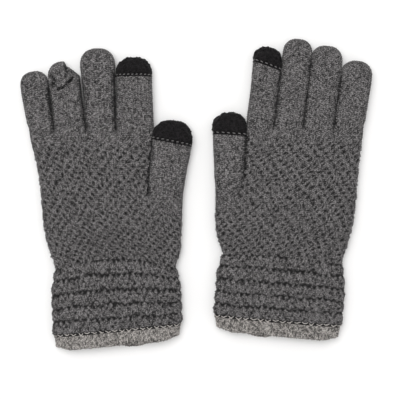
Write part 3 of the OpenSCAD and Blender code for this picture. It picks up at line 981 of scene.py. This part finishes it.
def raise_relief(glove):
    """Pushes the smooth skin out into stitches, blocks, welts and soft dents."""
    k, skin = knit(), glove.skin
    p, w, c = skin.points, skin.wale, skin.course
    seed = SEEDS[glove.sizes.side]
    drift_w = sum(a * soft_noise(p, size, seed + n)
                  for a, size, n in zip(DRIFT_WALES, DRIFT_SIZES, (1, 9)))
    drift_c = sum(a * soft_noise(p, size, seed + n)
                  for a, size, n in zip(DRIFT_COURSES, DRIFT_SIZES, (2, 10)))
    waves = moss(w, c, drift_w, drift_c)
    blocks = np.tanh(BLOCK_GAIN * waves + BLOCK_BIAS)
    legs = stitch_noise(2 * w, leg_rows(w, c), seed)
    grain = soft_noise(p, GRAIN, seed + 4)
    nubs = soft_noise(p, NUBS, seed + 6)
    plain = jersey(w, c) * (1 + LEG_UNEVEN * legs)
    swell = welts(glove, w, c, p)
    loops = hem_loops_relief(w, c)
    # painted shade in the pits between the raised blocks
    pits = smooth(-waves - PIT_START + PIT_UNEVEN * legs)
    share = {z: zone_of(skin, z) for z in ZONES}
    cloth = share["jersey"] + share["moss"] + share["welt"]
    height = k.stitch_depth * (plain - 0.5) * (cloth + HEM_STITCHES * share["hem"])
    raised = MOSS_MIX[0] * blocks + MOSS_MIX[1] * legs * jersey(w, c) + MOSS_MIX[2] * grain
    height += share["moss"] * k.moss_depth * raised
    height += share["welt"] * k.welt_depth * (swell - WELT_FLOOR)
    height += share["hem"] * HEM_LOOPS * loops
    height += share["cap"] * (CAP_STITCHES * plain + CAP_PROUD)
    for zone, (fine, coarse) in ROUGHNESS.items():
        height += share[zone] * (fine * grain + coarse * nubs)
    height -= share["groove"] * GROOVE_DEPTH
    for (size, amount), n in zip(DENTS, (5, 8)):
        height += amount * k.sag * soft_noise(p, size, seed + n)
    parts = {"plain": plain, "legs": legs, "grain": grain, "nubs": nubs, "pits": pits,
             "swell": swell, "loops": loops}
    # painted shade of the relief's low places, and the hem's dark flecks
    deep = mix(darkness("jersey", parts), darkness("moss", parts), share["moss"])
    welted = np.maximum(darkness("welt", parts), darkness("valley", parts))
    deep = mix(mix(deep, welted, share["welt"]), darkness("hem", parts), share["hem"])
    # grooves and creases get painted shade on top
    skin.hollow = np.clip(deep + share["groove"] + share["crease"], 0, 1)
    pressed = smooth(p[:, 2] / TABLE_PRESS + TABLE_LEFT)
    skin.points = p + skin.normals * (height * pressed)[:, None]
    skin.points[:, 2] = np.maximum(skin.points[:, 2], LOWEST)


def weld(skin):
    """Joins points that lie in one place, such as where two fingers part."""
    _, first, back = np.unique(np.round(skin.points * 1e7).astype(np.int64), axis=0,
                               return_index=True, return_inverse=True)
    back = back.ravel()
    skin.points, skin.zone = skin.points[first], skin.zone[first]
    skin.wale, skin.course = skin.wale[first], skin.course[first]
    skin.faces = back[skin.faces]
    skin.rings = {name: [back[r] for r in rings] for name, rings in skin.rings.items()}


# --- pieces cut from the skin ---
GLOVES = {}


def glove(side):
    """One glove's finished skin, knitted the first time it is asked for."""
    if side not in GLOVES:
        g = Glove(Sizes(side))
        weld(g.skin)
        g.skin.normals = vertex_normals(g.skin.points, g.skin.faces)
        raise_relief(g)
        g.skin.normals = vertex_normals(g.skin.points, g.skin.faces)
        GLOVES[side] = g
    return GLOVES[side]


def flipped_if(quads, mirrored):
    return quads[:, ::-1] if mirrored else quads


def cut_piece(g, label, name, material):
    """A mesh object of the skin's faces that carry a label."""
    skin, mirrored = g.skin, g.sizes.mirror < 0
    chosen = skin.label == label
    faces = skin.faces[chosen]
    used, back = np.unique(faces, return_inverse=True)
    faces = flipped_if(back.reshape(faces.shape), mirrored)
    corners_w = flipped_if(skin.corner_w[chosen], mirrored)
    corners_c = flipped_if(skin.corner_c[chosen], mirrored)
    mesh = new_mesh(name, g.sizes.world(skin.points[used]), faces)
    uv = mesh.uv_layers.new(name="Knit")
    uv.data.foreach_set("uv", np.stack([corners_w, corners_c], -1).astype(np.float32).ravel())
    # the painted shade of the relief, and the hem's dark flecks, for the material
    hollow = mesh.attributes.new("hollow", "FLOAT", "POINT")
    hollow.data.foreach_set("value", skin.hollow[used].astype(np.float32))
    bulge = skin.normals[used] * np.array([g.sizes.mirror, 1, 1])
    mesh.normals_split_custom_set_from_vertices(bulge.tolist())
    mesh.materials.append(material)
    return add_object(name, mesh)


def new_mesh(name, points, faces):
    mesh = bpy.data.meshes.new(name)
    faces = np.asarray(faces)
    mesh.vertices.add(len(points))
    mesh.vertices.foreach_set("co", np.asarray(points, np.float32).ravel())
    mesh.loops.add(faces.size)
    mesh.loops.foreach_set("vertex_index", faces.astype(np.int32).ravel())
    mesh.polygons.add(len(faces))
    mesh.polygons.foreach_set("loop_start", np.arange(len(faces), dtype=np.int32) * faces.shape[1])
    mesh.polygons.foreach_set("use_smooth", np.ones(len(faces), bool))
    mesh.update(calc_edges=True)
    mesh.validate()
    return mesh


def add_object(name, mesh):
    obj = bpy.data.objects.new(name, mesh)
    bpy.context.scene.collection.objects.link(obj)
    return obj


def point3(g, xy):
    """A point on the table in the glove's own frame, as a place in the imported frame."""
    return tuple(float(v) for v in g.sizes.world(np.array([xy[0], xy[1], 0.0])))


def bend_over(piece, g, stall, start, end):
    """Finds where a stall's middle line lies at two distances along it, which nothing uses, and bakes the
    piece's transform into its mesh.
    """
    point3(g, stall.place(start, np.zeros((1, 2)))[0][:2])
    point3(g, stall.place(end, np.zeros((1, 2)))[0][:2])
    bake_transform(piece)


# --- small yarn strands ---
def strand(path, radius, sides=6):
    """Points and quads of a yarn strand with tapered ends along a path."""
    path = np.asarray(path, float)
    run = np.gradient(path, axis=0)
    run /= np.linalg.norm(run, axis=1, keepdims=True)
    up = np.tile([0.0, 0.0, 1.0], (len(path), 1))
    side = np.cross(run, up)
    size = np.linalg.norm(side, axis=1, keepdims=True)
    side = np.where(size > 1e-6, side / np.maximum(size, 1e-6), [1.0, 0, 0])
    up = np.cross(side, run)
    t = np.linspace(0, 1, len(path))
    r = radius * np.clip(4 * np.minimum(t, 1 - t) + 0.35, 0, 1) ** 0.5
    a = np.arange(sides) * 2 * math.pi / sides
    points = (path[:, None] + r[:, None, None] * (np.cos(a)[None, :, None] * side[:, None]
                                                  + np.sin(a)[None, :, None] * up[:, None]))
    i, j = np.meshgrid(np.arange(len(path) - 1), np.arange(sides), indexing="ij")
    k = (j + 1) % sides
    quads = np.stack([i * sides + j, i * sides + k, (i + 1) * sides + k, (i + 1) * sides + j], -1)
    caps = [[(len(path) - 1) * sides + c for c in (0, 1, 2, 3)],
            [(len(path) - 1) * sides + c for c in (0, 3, 4, 5)],
            [3, 2, 1, 0], [5, 4, 3, 0]]
    return points.reshape(-1, 3), np.concatenate([quads.reshape(-1, 4), caps])


def strands_object(name, paths, radius, material, mirrored):
    points, faces, at = [], [], 0
    for path in paths:
        p, f = strand(path, radius)
        points.append(p)
        faces.append(f + at)
        at += len(p)
    faces = flipped_if(np.concatenate(faces), not mirrored)
    mesh = new_mesh(name, np.concatenate(points), faces)
    mesh.materials.append(material)
    return add_object(name, mesh)


def laid(g, name, rows, columns, lift):
    """Points of a strand laid over kept rows, at shares from the first row to the last."""
    rings = g.skin.rings[name]
    points = []
    for row, column in zip(rows, columns):
        at = np.clip(row, 0, 1) * (len(rings) - 1)
        low, high = rings[int(at)], rings[min(int(at) + 1, len(rings) - 1)]
        column = int(round(column)) % len(low)
        a, b = low[column], high[column]
        point = mix(g.skin.points[a], g.skin.points[b], at - int(at))
        points.append(point + g.skin.normals[a] * lift)
    return g.sizes.world(np.array(points))


DASH_COLUMNS = 3            # point columns that one seam stitch covers
DASH_STEP = 6               # point columns from one seam stitch to the next
DASH_RADIUS = 0.38 * MM     # radius of the seam thread
DASH_LIFT = 0.15 * MM       # how far its middle lies above the skin
DASH_FROM, DASH_CLIMB = 0.35, 0.3   # where a stitch starts in the seam band, and how far it climbs
LOOP_COLUMNS = 7            # point columns that one leg of a hem loop leans over
LOOP_RADIUS = 0.32 * MM     # radius of the hem loops' yarn
LOOP_LIFT = 0.3 * MM        # how far its middle lies above the skin
LOOP_FOOT = (0.65, 0.35)    # how far down its band a loop's foot lies, and how that varies
LOOP_PEAK = (0.2, 0.2)      # the same for its peak
LOOP_SHIFT = 2.0            # how far a loop strays, in point columns
LOOP_CROSS = 0.6            # where its second leg starts, in lengths of the first
LOOP_SEED = 91


def seam_dashes(g, digit):
    """Paths of the stitches that join a touch tip."""
    count = len(g.skin.rings[digit][0])
    paths = []
    for start in range(0, count - DASH_COLUMNS, DASH_STEP):
        t = np.linspace(0, 1, DASH_COLUMNS + 1)
        paths.append(laid(g, digit, DASH_FROM + DASH_CLIMB * t, start + t * DASH_COLUMNS, DASH_LIFT))
    return paths


def hem_zigzag(g):
    """Paths of the light loops that cross over the hem's upper edge."""
    count = len(g.skin.rings["hem"][0])
    t = np.linspace(0, 1, 9)
    paths = []
    for start in range(0, count - 3 * LOOP_COLUMNS, 2 * LOOP_COLUMNS):
        chance = stitch_noise(np.array([start, start + 1, start + 2]), np.zeros(3), LOOP_SEED)
        foot = LOOP_FOOT[0] + LOOP_FOOT[1] * chance[0]
        peak = LOOP_PEAK[0] + LOOP_PEAK[1] * chance[1]
        shift = LOOP_SHIFT * chance[2]
        paths.append(laid(g, "hem", foot * t, start + shift + t * LOOP_COLUMNS, LOOP_LIFT))
        paths.append(laid(g, "hem", mix(foot, peak, t), start + LOOP_COLUMNS * (LOOP_CROSS + t), LOOP_LIFT))
    return paths


# --- shader node groups that several materials share ---
def group_sockets(tree, inputs, outputs):
    """Adds a group's sockets, and gives its input and output nodes."""
    for name, kind, default in inputs:
        socket = tree.interface.new_socket(name=name, in_out="INPUT", socket_type=kind)
        if default is not None:
            socket.default_value = default
    for name, kind in outputs:
        tree.interface.new_socket(name=name, in_out="OUTPUT", socket_type=kind)
    return tree.nodes.new("NodeGroupInput"), tree.nodes.new("NodeGroupOutput")


class Wires:
    """Short ways to add and join nodes in one tree."""

    def __init__(self, tree):
        self.tree = tree

    def node(self, kind, **settings):
        node = self.tree.nodes.new(kind)
        for name, value in settings.items():
            setattr(node, name, value)
        return node

    def join(self, source, target):
        self.tree.links.new(source, target)

    def feed(self, socket, value):
        if hasattr(value, "is_output"):
            self.join(value, socket)
        else:
            socket.default_value = value

    def maths(self, operation, a, b=None, c=None, clamp=False):
        node = self.node("ShaderNodeMath", operation=operation, use_clamp=clamp)
        for k, value in enumerate((a, b, c)):
            if value is not None:
                self.feed(node.inputs[k], value)
        return node.outputs[0]

    def blend(self, share, a, b):
        node = self.node("ShaderNodeMix", data_type="RGBA")
        self.feed(node.inputs["Factor"], share)
        self.feed(node.inputs["A"], a)
        self.feed(node.inputs["B"], b)
        return node.outputs["Result"]

    def combine(self, x, y, z=0.0):
        node = self.node("ShaderNodeCombineXYZ")
        for k, value in enumerate((x, y, z)):
            self.feed(node.inputs[k], value)
        return node.outputs[0]

    def noise(self, vector, scale, detail=2.0, roughness=0.6):
        node = self.node("ShaderNodeTexNoise")
        self.join(vector, node.inputs["Vector"])
        node.inputs["Scale"].default_value = scale
        node.inputs["Detail"].default_value = detail
        node.inputs["Roughness"].default_value = roughness
        return node.outputs["Fac"]


def stitch_group():
    """Where in its stitch a point is: across the leg, along the leg, and a random value per leg."""
    tree = bpy.data.node_groups.new("Stitch cell", "ShaderNodeTree")
    source, result = group_sockets(
        tree, [("Knit", "NodeSocketVector", None)],
        [("Across", "NodeSocketFloat"), ("Along", "NodeSocketFloat"), ("Random", "NodeSocketFloat")])
    n = Wires(tree)
    split = n.node("ShaderNodeSeparateXYZ")
    n.join(source.outputs["Knit"], split.inputs[0])
    w, c = split.outputs[0], split.outputs[1]
    slant = n.maths("ABSOLUTE", n.maths("SUBTRACT", n.maths("MULTIPLY", n.maths("FRACT", w), 2.0), 1.0))
    along = n.maths("ADD", n.maths("SUBTRACT", c, n.maths("MULTIPLY", slant, STITCH_SLANT)), 0.5)
    across = n.maths("MULTIPLY", w, 2.0)
    cell = n.combine(n.maths("FLOOR", across), n.maths("FLOOR", along))
    white = n.node("ShaderNodeTexWhiteNoise", noise_dimensions="2D")
    n.join(cell, white.inputs["Vector"])
    n.join(across, result.inputs["Across"])
    n.join(along, result.inputs["Along"])
    n.join(white.outputs["Value"], result.inputs["Random"])
    return tree


STROKES_ACROSS, STROKES_ALONG = 0.75, 2.0   # light and dark strokes to a yarn leg, each way
STROKE_SCALE = 1.8          # fineness of the strokes
STROKE_CONTRAST = 7.0       # how hard light and dark yarn part
FIBRE_SCALE = 3.5           # fineness of the single fibres
TWISTS = 3.0                # turns of the yarn to one leg
TWIST_LEAN = 1.4            # how much the turns lean across the leg
TWIST_HEIGHT = 0.25         # relief of the turns, over that of the fibres


def yarn_group():
    """Light and dark fibres of a marl yarn, and the height of its twisted strands."""
    tree = bpy.data.node_groups.new("Marl yarn", "ShaderNodeTree")
    source, result = group_sockets(
        tree, [("Knit", "NodeSocketVector", None), ("Mottle", "NodeSocketFloat", 0.5),
               ("Twist", "NodeSocketFloat", TWISTS)],
        [("Shade", "NodeSocketFloat"), ("Height", "NodeSocketFloat")])
    n = Wires(tree)
    stitch = n.node("ShaderNodeGroup", node_tree=bpy.data.node_groups["Stitch cell"])
    n.join(source.outputs["Knit"], stitch.inputs["Knit"])
    across, along, random = (stitch.outputs[k] for k in ("Across", "Along", "Random"))
    strokes_at = n.combine(n.maths("MULTIPLY", across, STROKES_ACROSS),
                           n.maths("MULTIPLY", along, STROKES_ALONG))
    strokes = n.noise(strokes_at, STROKE_SCALE, detail=1.0)
    fibres = n.noise(strokes_at, FIBRE_SCALE)
    spread = n.maths("MULTIPLY", n.maths("SUBTRACT", random, 0.5), source.outputs["Mottle"])
    strong = n.maths("MULTIPLY", n.maths("SUBTRACT", strokes, 0.5), STROKE_CONTRAST)
    shade = n.maths("ADD", n.maths("ADD", strong, 0.5), spread)
    shade = n.maths("ADD", shade, n.maths("SUBTRACT", fibres, 0.5), clamp=True)
    turn = n.maths("MULTIPLY", n.maths("ADD", n.maths("MULTIPLY", across, TWIST_LEAN), along),
                   n.maths("MULTIPLY", source.outputs["Twist"], 2 * math.pi))
    height = n.maths("ADD", n.maths("MULTIPLY", n.maths("SINE", turn), TWIST_HEIGHT), fibres)
    n.join(shade, result.inputs["Shade"])
    n.join(height, result.inputs["Height"])
    return tree


def shared_groups():
    if "Marl yarn" not in bpy.data.node_groups:
        stitch_group()
        yarn_group()


# --- materials ---
def fabric(name, dark, light, mottle, shade_and_flecks_strength, sheen, bump=0.35):
    """Knitted yarn: fibres in two colours, painted shade in the grooves and the hem's dark flecks, soft
    sheen of loose fibres.
    """
    if name in bpy.data.materials:
        return bpy.data.materials[name]
    shared_groups()
    material = bpy.data.materials.new(name)
    material.use_nodes = True
    n = Wires(material.node_tree)
    shader = material.node_tree.nodes["Principled BSDF"]
    uv = n.node("ShaderNodeUVMap", uv_map="Knit")
    marl = n.node("ShaderNodeGroup", node_tree=bpy.data.node_groups["Marl yarn"])
    n.join(uv.outputs["UV"], marl.inputs["Knit"])
    marl.inputs["Mottle"].default_value = mottle
    colour = n.blend(marl.outputs["Shade"], (*dark, 1), (*light, 1))
    # painted shade: the colour darkens towards a fifth of the dark fibres where the mesh's painted-shade
    # attribute is high
    hollow = n.node("ShaderNodeAttribute", attribute_name="hollow")
    deep = n.maths("MULTIPLY", hollow.outputs["Fac"], shade_and_flecks_strength)
    shadow = n.blend(deep, colour, tuple(0.2 * v for v in dark) + (1,))
    n.join(shadow, shader.inputs["Base Color"])
    shader.inputs["Roughness"].default_value = 0.92
    shader.inputs["Specular IOR Level"].default_value = 0.18
    shader.inputs["Sheen Weight"].default_value = sheen
    shader.inputs["Sheen Roughness"].default_value = 0.45
    raised = n.node("ShaderNodeBump")
    raised.inputs["Strength"].default_value = bump
    raised.inputs["Distance"].default_value = 0.35 * MM
    n.join(marl.outputs["Height"], raised.inputs["Height"])
    n.join(raised.outputs["Normal"], shader.inputs["Normal"])
    return material


def tinted(colour, share):
    """A colour made darker or lighter."""
    return tuple(share * v for v in colour)


def grey_marl(stitch):
    """Grey yarn, as it is knitted in one kind of stitch."""
    return fabric(f"Grey marl {stitch}", yarn().dark, yarn().light,
                  mottle=0.7, shade_and_flecks_strength=0.95, sheen=0.07)


def lining_marl():
    return fabric("Grey marl lining", tinted(yarn().dark, 0.6), tinted(yarn().light, 0.6),
                  mottle=0.4, shade_and_flecks_strength=0.7, sheen=0.1)


def black_touch():
    return fabric("Black touch knit", yarn().black, tinted(yarn().black, 7),
                  mottle=1.0, shade_and_flecks_strength=0.6, sheen=0.04, bump=0.5)


def pale_hem():
    return fabric("Pale flecked hem", tinted(yarn().pale, 0.3), yarn().pale,
                  mottle=0.7, shade_and_flecks_strength=0.9, sheen=0.08)


def pale_loops():
    return fabric("Pale hem loops", tinted(yarn().pale, 0.55), tinted(yarn().pale, 0.95),
                  mottle=0.4, shade_and_flecks_strength=0.0, sheen=0.08)


def seam_thread():
    return fabric("Seam thread", tinted(yarn().thread, 0.5), yarn().thread,
                  mottle=0.3, shade_and_flecks_strength=0.0, sheen=0.1)


# --- operators: one for each piece or group of like pieces ---
def both(make):
    for side in SIDES:
        make(glove(side), side)


class GLOVES_OT_hands(bpy.types.Operator):
    """Knits the hand of each glove, with its raised blocks"""

    bl_idname = "gloves.hands"
    bl_label = "Hands"

    def execute(self, context):
        both(self.make)
        return {"FINISHED"}

    def make(self, g, side):
        piece = cut_piece(g, "hand", f"{side}_hand_knit", grey_marl("moss"))
        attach(piece, f"{side}_hand_body")
        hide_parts(f"{side}_hand")


class GLOVES_OT_lower_stalls(bpy.types.Operator):
    """Knits the lower part of each stall"""

    bl_idname = "gloves.lower_stalls"
    bl_label = "Lower stalls"

    def execute(self, context):
        both(self.make)
        return {"FINISHED"}

    def make(self, g, side):
        for digit, stall in g.sizes.stalls.items():
            piece = cut_piece(g, f"{digit}_lower", f"{side}_{digit}_lower_knit", grey_marl("jersey"))
            bend_over(piece, g, stall,
                      stall.starts_at, stall.split_at)
            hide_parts(f"{side}_{digit}_base")


class GLOVES_OT_upper_stalls(bpy.types.Operator):
    """Knits the upper part of each stall"""

    bl_idname = "gloves.upper_stalls"
    bl_label = "Upper stalls"

    def execute(self, context):
        both(self.make)
        return {"FINISHED"}

    def make(self, g, side):
        for digit, stall in g.sizes.stalls.items():
            piece = cut_piece(g, f"{digit}_upper", f"{side}_{digit}_upper_knit", grey_marl("jersey"))
            bend_over(piece, g, stall,
                      stall.split_at + 1 * MM, 2 * stall.fold - stall.split_at)
            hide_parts(f"{side}_{digit}_end")


class GLOVES_OT_touch_tips(bpy.types.Operator):
    """Knits the black tips of index fingers and thumbs"""

    bl_idname = "gloves.touch_tips"
    bl_label = "Touch tips"

    def execute(self, context):
        both(self.make)
        return {"FINISHED"}

    def make(self, g, side):
        for digit in TIPPED:
            piece = cut_piece(g, f"{digit}_tip", f"{side}_{digit}_touch_tip", black_touch())
            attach(piece, f"{side}_{digit}_upper")
            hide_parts(f"{side}_{digit}_tip")
            seam = strands_object(f"{side}_{digit}_seam_stitches", seam_dashes(g, digit),
                                  DASH_RADIUS, seam_thread(), g.sizes.mirror < 0)
            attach(seam, f"{side}_{digit}_upper")
            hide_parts(f"{side}_{digit}_thread")


class GLOVES_OT_cuffs(bpy.types.Operator):
    """Knits the welted cuffs and their linings"""

    bl_idname = "gloves.cuffs"
    bl_label = "Cuffs"

    def execute(self, context):
        both(self.make)
        return {"FINISHED"}

    def make(self, g, side):
        piece = cut_piece(g, "cuff", f"{side}_cuff_welts", grey_marl("welt"))
        down = np.array([g.wrist_slope, -1.0])
        down /= np.linalg.norm(down)
        point3(g, down * 0)
        point3(g, down * WRIST_BEND)
        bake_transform(piece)
        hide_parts(f"{side}_cuff")
        lining = cut_piece(g, "lining", f"{side}_cuff_lining", lining_marl())
        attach(lining, f"{side}_cuff_body")


class GLOVES_OT_hems(bpy.types.Operator):
    """Knits the pale hem bands round the mouths"""

    bl_idname = "gloves.hems"
    bl_label = "Hems"

    def execute(self, context):
        both(self.make)
        return {"FINISHED"}

    def make(self, g, side):
        piece = cut_piece(g, "hem", f"{side}_hem_band", pale_hem())
        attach(piece, f"{side}_cuff_body")
        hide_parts(f"{side}_hem")
        loops = strands_object(f"{side}_hem_loops", hem_zigzag(g), LOOP_RADIUS, pale_loops(),
                               g.sizes.mirror < 0)
        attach(loops, f"{side}_cuff_body")


# --- the studio ---
CAMERA_SHIFT = (2.65 * MM, -4.3 * MM)   # the camera's aim, from the middle of the gloves
SOFTBOX_SIZE = 0.9
SOFTBOX_PLACE = (-0.2, 0.3, 1.2)
TABLE_HALF = 9                          # half the width of the table
TABLE_WHITE = (0.945, 0.94, 0.935, 1)


def area_light(name, size, power, place, aim):
    """A square soft light at a place, turned towards an aim."""
    data = bpy.data.lights.new(name, "AREA")
    data.shape, data.size, data.energy = "SQUARE", size, power
    lamp = bpy.data.objects.new(name, data)
    bpy.context.scene.collection.objects.link(lamp)
    lamp.location = place
    direction = np.array(place) - np.array(aim)
    flat = math.hypot(direction[0], direction[1])
    lamp.rotation_euler = (math.atan2(flat, direction[2]), 0, math.atan2(direction[0], -direction[1]))


class GLOVES_OT_stage(bpy.types.Operator):
    """Lays a pale table, and sets the camera overhead and the soft light"""

    bl_idname = "gloves.stage"
    bl_label = "Table, camera and light"

    def execute(self, context):
        self.camera()
        self.table()
        area_light("Softbox", SOFTBOX_SIZE, studio().softbox, SOFTBOX_PLACE, aim=(0, 0, 0))
        world = bpy.data.worlds.new("Studio")
        bpy.context.scene.world = world
        world.use_nodes = True
        sky = world.node_tree.nodes["Background"]
        sky.inputs["Color"].default_value = (1, 1, 1, 1)
        sky.inputs["Strength"].default_value = studio().sky
        bpy.context.scene.view_settings.view_transform = "Standard"
        return {"FINISHED"}

    def camera(self):
        data = bpy.data.cameras.new("Camera")
        data.sensor_width, data.lens = 36, studio().lens
        camera = bpy.data.objects.new("Camera", data)
        bpy.context.scene.collection.objects.link(camera)
        x, y, z = (np.array(CAD_BOX[0]) + np.array(CAD_BOX[1])) / 2
        distance = studio().view_width * data.lens / data.sensor_width
        camera.location = (x + CAMERA_SHIFT[0], y + CAMERA_SHIFT[1], z + distance)
        bpy.context.scene.camera = camera

    def table(self):
        h = TABLE_HALF
        mesh = new_mesh("table", [(-h, -h, 0), (h, -h, 0), (h, h, 0), (-h, h, 0)], [[0, 1, 2, 3]])
        material = bpy.data.materials.new("White table")
        material.use_nodes = True
        shader = material.node_tree.nodes["Principled BSDF"]
        shader.inputs["Base Color"].default_value = TABLE_WHITE
        shader.inputs["Roughness"].default_value = 0.8
        shader.inputs["Specular IOR Level"].default_value = 0.2
        mesh.materials.append(material)
        table = add_object("table", mesh)
        table.location.z = -0.2 * MM


class GLOVES_PT_panel(bpy.types.Panel):
    """Lists the steps that make the gloves"""

    bl_label = "Gloves"
    bl_idname = "GLOVES_PT_panel"
    bl_space_type = "VIEW_3D"
    bl_region_type = "UI"
    bl_category = "Gloves"

    def draw(self, context):
        for group in ("glove_knit", "glove_yarn", "glove_studio"):
            box = self.layout.box()
            settings = getattr(context.scene, group)
            for name in settings.bl_rna.properties.keys():
                if name not in ("rna_type", "name"):
                    box.prop(settings, name)
        for step in STEPS:
            self.layout.operator(step.bl_idname)


SETTINGS = (("glove_knit", KnitSettings), ("glove_yarn", YarnSettings), ("glove_studio", StudioSettings))
STEPS = (GLOVES_OT_stage, GLOVES_OT_hands, GLOVES_OT_lower_stalls, GLOVES_OT_upper_stalls,
         GLOVES_OT_touch_tips, GLOVES_OT_cuffs, GLOVES_OT_hems)
CLASSES = tuple(kind for _, kind in SETTINGS) + STEPS + (GLOVES_PT_panel,)


def register():
    for kind in CLASSES:
        bpy.utils.register_class(kind)
    for name, kind in SETTINGS:
        setattr(bpy.types.Scene, name, bpy.props.PointerProperty(type=kind))


def unregister():
    for name, _ in SETTINGS:
        delattr(bpy.types.Scene, name)
    for kind in reversed(CLASSES):
        bpy.utils.unregister_class(kind)


def main():
    register()
    for step in STEPS:
        getattr(bpy.ops.gloves, step.bl_idname.split(".")[1])()


if __name__ == "__main__":
    main()
